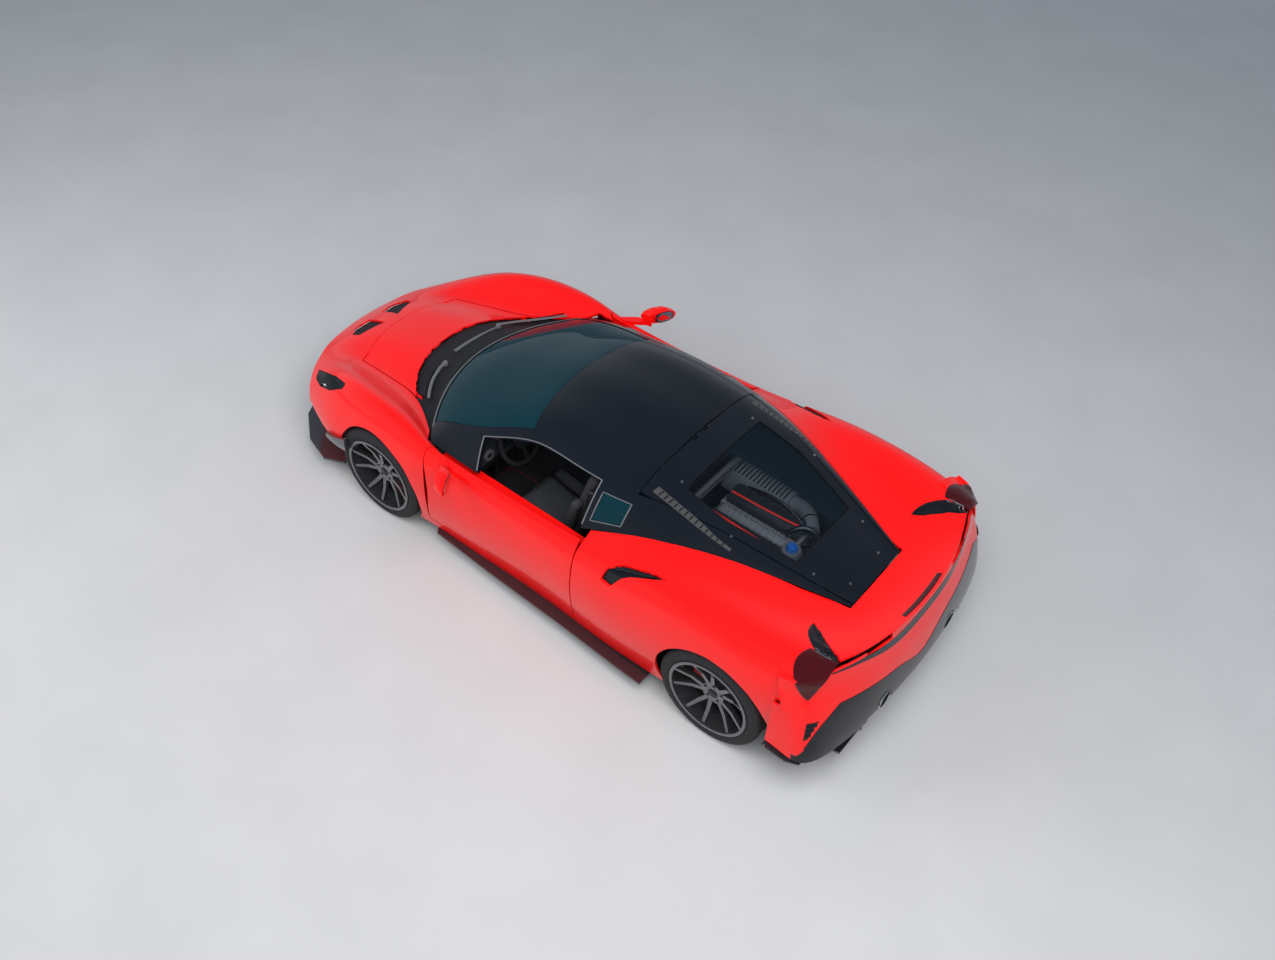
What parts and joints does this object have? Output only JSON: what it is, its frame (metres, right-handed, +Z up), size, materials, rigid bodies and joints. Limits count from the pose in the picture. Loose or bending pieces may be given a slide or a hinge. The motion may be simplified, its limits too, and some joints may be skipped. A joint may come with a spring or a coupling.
{
  "type": "supercar",
  "caption": "Low mid-engined two-seat sports car with opening doors, front lid and glazed engine lid, steered front wheels and a lowered side window.",
  "frame": {"origin": "on the ground under the middle of the car's box", "axes": "+X forward, +Y to the car's left, +Z up"},
  "size_m": [4.6106, 2.262, 1.2077],
  "materials": {
    "body_paint": "gloss paint over panels",
    "roof_black": "gloss black panels",
    "window_glass": "tinted glass",
    "lamp_cover": "clear lens over a dark lamp",
    "lamp_red": "dark red lens",
    "trim_black": "dark matte trim",
    "metal_frame": "dark structure",
    "engine_metal": "cast metal",
    "engine_plastic": "moulded boxes",
    "seat_cloth": "dark grey cloth",
    "cabin_trim": "dark cabin trim",
    "rubber": "matte rubber",
    "rim_dark": "dark grey metal",
    "brake_disc": "machined disc",
    "caliper_paint": "gloss paint",
    "suspension_metal": "forged metal",
    "exhaust_steel": "brushed steel"
  },
  "bodies": {
    "chassis": {"cowl_panel": "roof_black", "dashboard": "cabin_trim", "engine": "engine_metal", "engine_airboxes": "engine_plastic", "exhaust": "exhaust_steel", "fixed_glass": "window_glass", "floor_tub": "metal_frame", "front_bumper": "body_paint", "front_fenders": "body_paint", "front_grilles": "trim_black", "front_splitter": "trim_black", "front_structure": "metal_frame", "front_suspension": "suspension_metal", "headlamps": "lamp_cover", "rear_bumper": "body_paint", "rear_calipers": "caliper_paint", "rear_deck": "body_paint", "rear_diffuser": "trim_black", "rear_fenders": "body_paint", "rear_structure": "metal_frame", "rear_suspension": "suspension_metal", "rocker_panels": "body_paint", "roof_panel": "roof_black", "seats": "seat_cloth", "side_intakes": "trim_black", "side_skirts": "trim_black", "tail_lamps": "lamp_red", "tail_vents": "trim_black", "wheel_liners": "trim_black"},
    "steering_wheel": {"steering_wheel": "cabin_trim"},
    "knuckle_left": {"knuckle_left": "suspension_metal", "caliper_left": "caliper_paint"},
    "knuckle_right": {"knuckle_right": "suspension_metal", "caliper_right": "caliper_paint"},
    "door_left": {"door_left": "body_paint", "mirror_left": "body_paint"},
    "door_right": {"door_right": "body_paint", "mirror_right": "body_paint"},
    "front_lid": {"front_lid": "body_paint"},
    "engine_lid": {"engine_lid": "roof_black", "engine_lid_glass": "window_glass"},
    "wheel_front_left": {"tyre_front_left": "rubber", "rim_front_left": "rim_dark", "disc_front_left": "brake_disc"},
    "wheel_front_right": {"tyre_front_right": "rubber", "rim_front_right": "rim_dark", "disc_front_right": "brake_disc"},
    "wheel_rear_left": {"tyre_rear_left": "rubber", "rim_rear_left": "rim_dark", "disc_rear_left": "brake_disc"},
    "wheel_rear_right": {"tyre_rear_right": "rubber", "rim_rear_right": "rim_dark", "disc_rear_right": "brake_disc"}
  },
  "joints": [
    {"name": "front_left_steer", "type": "hinge", "parent": "chassis", "child": "knuckle_left", "pos_m": [1.1425, 0.7475, 0.34], "axis": [0, 0, 1], "range_deg": [-30, 30]},
    {"name": "front_right_steer", "type": "hinge", "parent": "chassis", "child": "knuckle_right", "pos_m": [1.1425, -0.7475, 0.34], "axis": [0, 0, 1], "range_deg": [-30, 30]},
    {"name": "steering_wheel_turn", "type": "hinge", "parent": "chassis", "child": "steering_wheel", "pos_m": [0.44, 0.37, 0.7], "axis": [-0.9272, 0, 0.3746], "range_deg": [-345, 345]},
    {"name": "front_left_spin", "type": "hinge", "parent": "knuckle_left", "child": "wheel_front_left", "pos_m": [1.1425, 0.8395, 0.34], "axis": [0, 1, 0], "continuous": true},
    {"name": "front_right_spin", "type": "hinge", "parent": "knuckle_right", "child": "wheel_front_right", "pos_m": [1.1425, -0.8395, 0.34], "axis": [0, 1, 0], "continuous": true},
    {"name": "rear_left_spin", "type": "hinge", "parent": "chassis", "child": "wheel_rear_left", "pos_m": [-1.5075, 0.8245, 0.3455], "axis": [0, 1, 0], "continuous": true},
    {"name": "rear_right_spin", "type": "hinge", "parent": "chassis", "child": "wheel_rear_right", "pos_m": [-1.5075, -0.8245, 0.3455], "axis": [0, 1, 0], "continuous": true},
    {"name": "left_door_hinge", "type": "hinge", "parent": "chassis", "child": "door_left", "pos_m": [0.657, 0.905, 0.485], "axis": [0, 0, -1], "range_deg": [0, 60]},
    {"name": "right_door_hinge", "type": "hinge", "parent": "chassis", "child": "door_right", "pos_m": [0.657, -0.905, 0.485], "axis": [0, 0, 1], "range_deg": [0, 60]},
    {"name": "front_lid_hinge", "type": "hinge", "parent": "chassis", "child": "front_lid", "pos_m": [1.165, 0, 0.70034], "axis": [0, -1, 0], "range_deg": [0, 50]},
    {"name": "engine_lid_hinge", "type": "hinge", "parent": "chassis", "child": "engine_lid", "pos_m": [-0.646, 0, 1.16027], "axis": [0, 1, 0], "range_deg": [0, 50]}
  ],
  "couplings": [
    {"joint": "front_right_steer", "follows": "front_left_steer", "ratio": 1},
    {"joint": "steering_wheel_turn", "follows": "front_left_steer", "ratio": 11.5}
  ]
}
